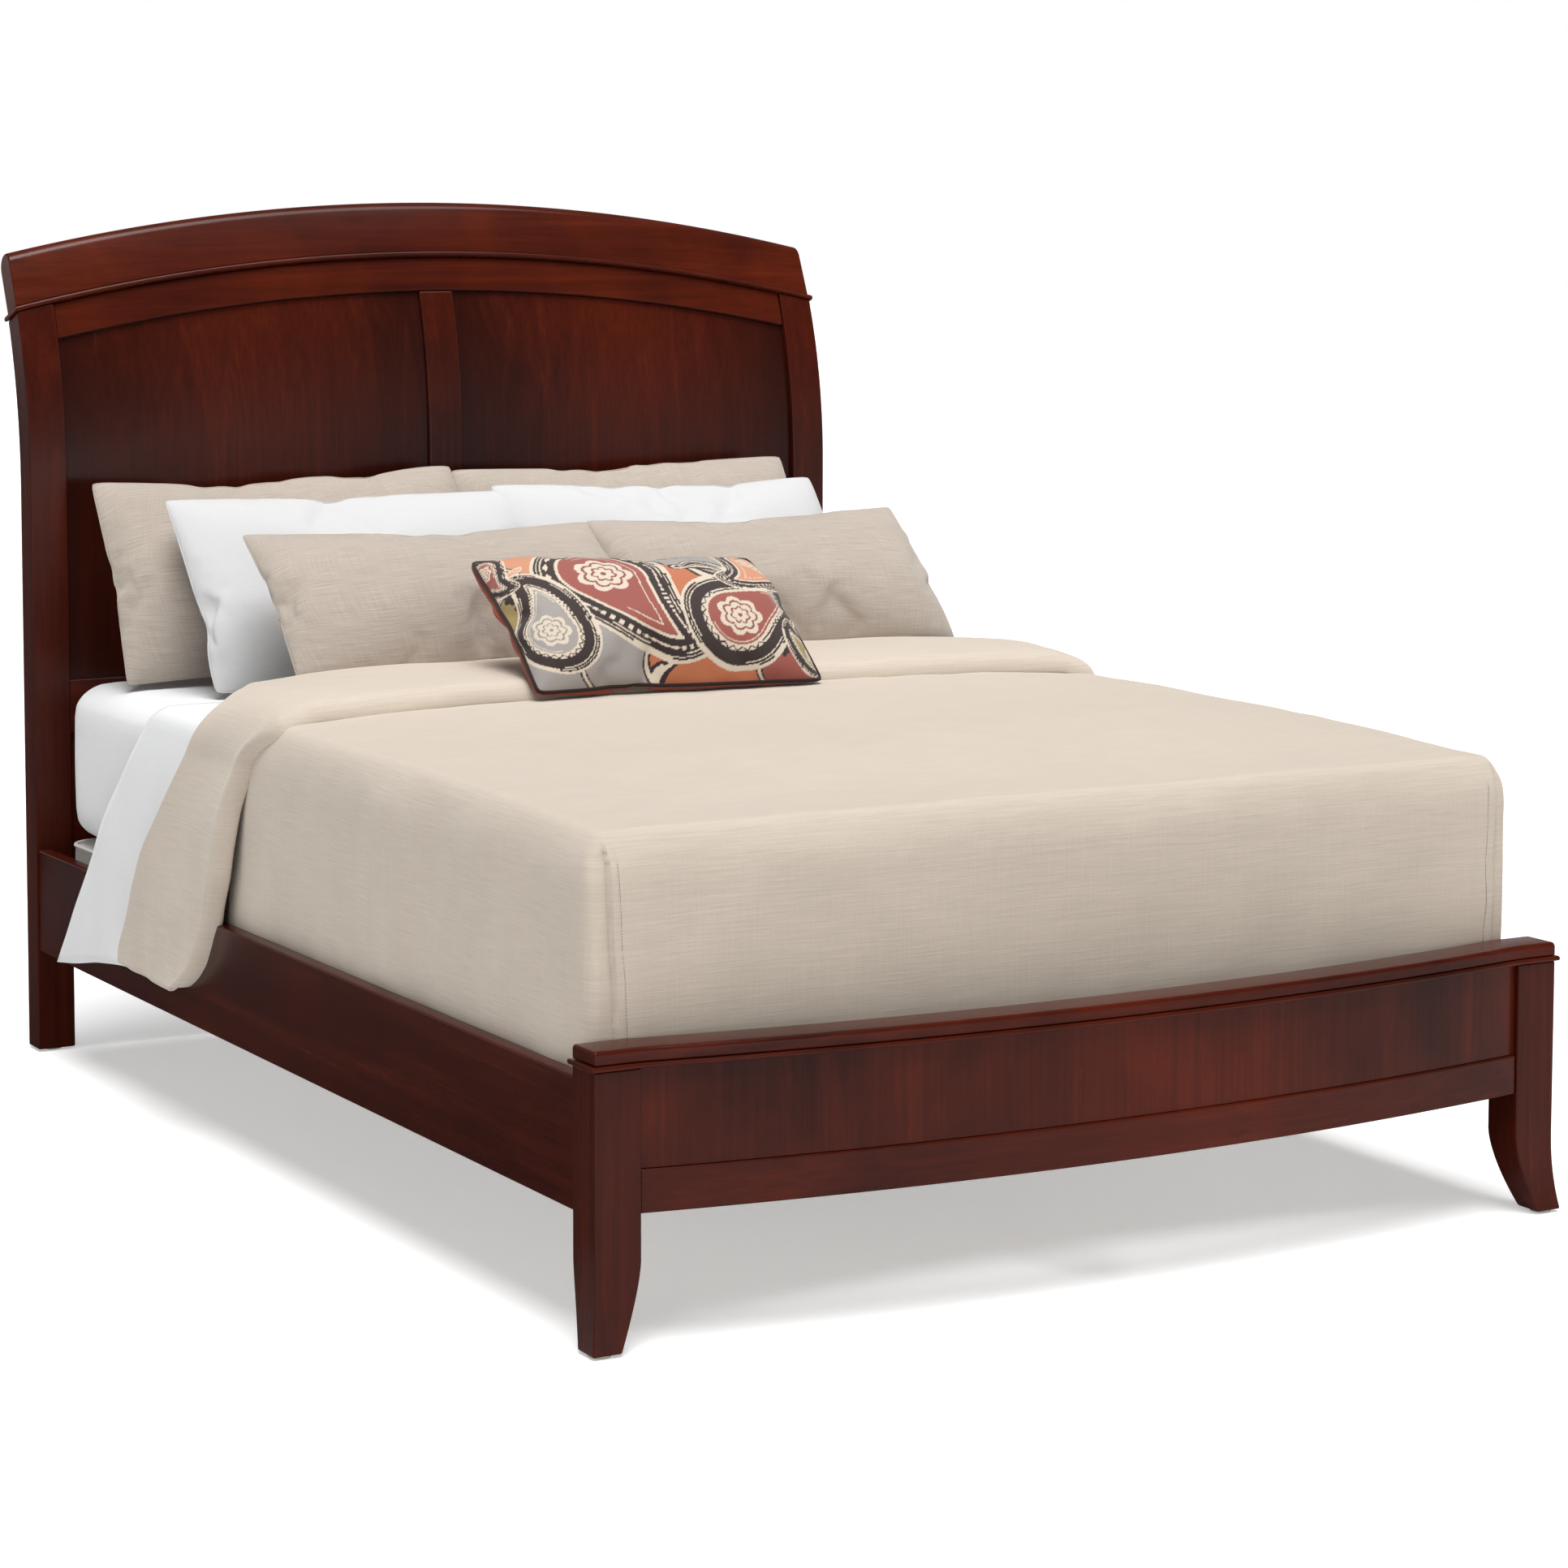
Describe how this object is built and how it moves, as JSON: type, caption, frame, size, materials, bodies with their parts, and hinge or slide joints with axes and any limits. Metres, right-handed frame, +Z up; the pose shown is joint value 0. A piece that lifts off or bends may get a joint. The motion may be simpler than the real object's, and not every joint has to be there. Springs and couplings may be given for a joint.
{
  "type": "sleigh bed",
  "caption": "Queen sleigh bed with a curved, arched headboard and a low bowed footboard on sabre legs, on slats and a centre beam, made up with mattress, duvet and pillows.",
  "frame": {"origin": "on the floor, under the middle of the whole bed's bounding box", "axes": "+X to the right seen from the foot, +Y from the foot to the head, +Z up"},
  "size_m": [1.66, 2.3706, 1.4992],
  "materials": {
    "wood": "semi-gloss cherry stain lacquer",
    "raw_wood": "plain sanded softwood",
    "steel": "dark zinc satin",
    "nylon": "matte",
    "ticking": "woven ticking",
    "cotton": "plain percale cotton",
    "linen": "slubbed linen weave",
    "print": null
  },
  "bodies": {
    "frame": {"headboard_post_left": "wood", "headboard_post_right": "wood", "headboard_cap": "wood", "headboard_bead": "wood", "headboard_top_rail": "wood", "headboard_centre_stile": "wood", "headboard_panel_left": "wood", "headboard_panel_right": "wood", "headboard_lower_rail": "wood", "headboard_lower_panel": "wood", "headboard_bottom_rail": "wood", "footboard_leg_left": "wood", "footboard_leg_right": "wood", "footboard_bottom_rail": "wood", "footboard_panel": "wood", "footboard_bead": "wood", "footboard_cap": "wood", "side_rail_left": "wood", "side_rail_right": "wood", "slat_ledger_left": "raw_wood", "slat_ledger_right": "raw_wood", "centre_beam": "raw_wood", "centre_leg_1": "raw_wood", "centre_leg_2": "raw_wood", "slat_1": "raw_wood", "slat_2": "raw_wood", "slat_3": "raw_wood", "slat_4": "raw_wood", "slat_5": "raw_wood", "slat_6": "raw_wood", "slat_7": "raw_wood", "slat_8": "raw_wood", "corner_plate_foot_left": "steel", "corner_plate_foot_right": "steel", "corner_plate_head_left": "steel", "corner_plate_head_right": "steel", "beam_hanger_foot": "steel", "beam_hanger_head": "steel", "floor_glide_foot_left": "nylon", "floor_glide_foot_right": "nylon", "floor_glide_head_left": "nylon", "floor_glide_head_right": "nylon", "foundation": "ticking", "mattress": "cotton", "duvet": "linen", "top_sheet": "cotton", "duvet_turndown": "linen", "sham_back_left": "linen", "sham_back_right": "linen", "pillow_left": "cotton", "pillow_right": "cotton", "sham_front_left": "linen", "sham_front_right": "linen", "lumbar_pillow": "print"},
    "levelling_foot_1": {"levelling_foot_1": "steel"},
    "levelling_foot_2": {"levelling_foot_2": "steel"}
  },
  "joints": [
    {"name": "levelling_screw_1", "type": "slide", "parent": "frame", "child": "levelling_foot_1", "axis": [0, 0, -1], "range_m": [0, 0.012]},
    {"name": "levelling_screw_2", "type": "slide", "parent": "frame", "child": "levelling_foot_2", "axis": [0, 0, -1], "range_m": [0, 0.012]}
  ]
}
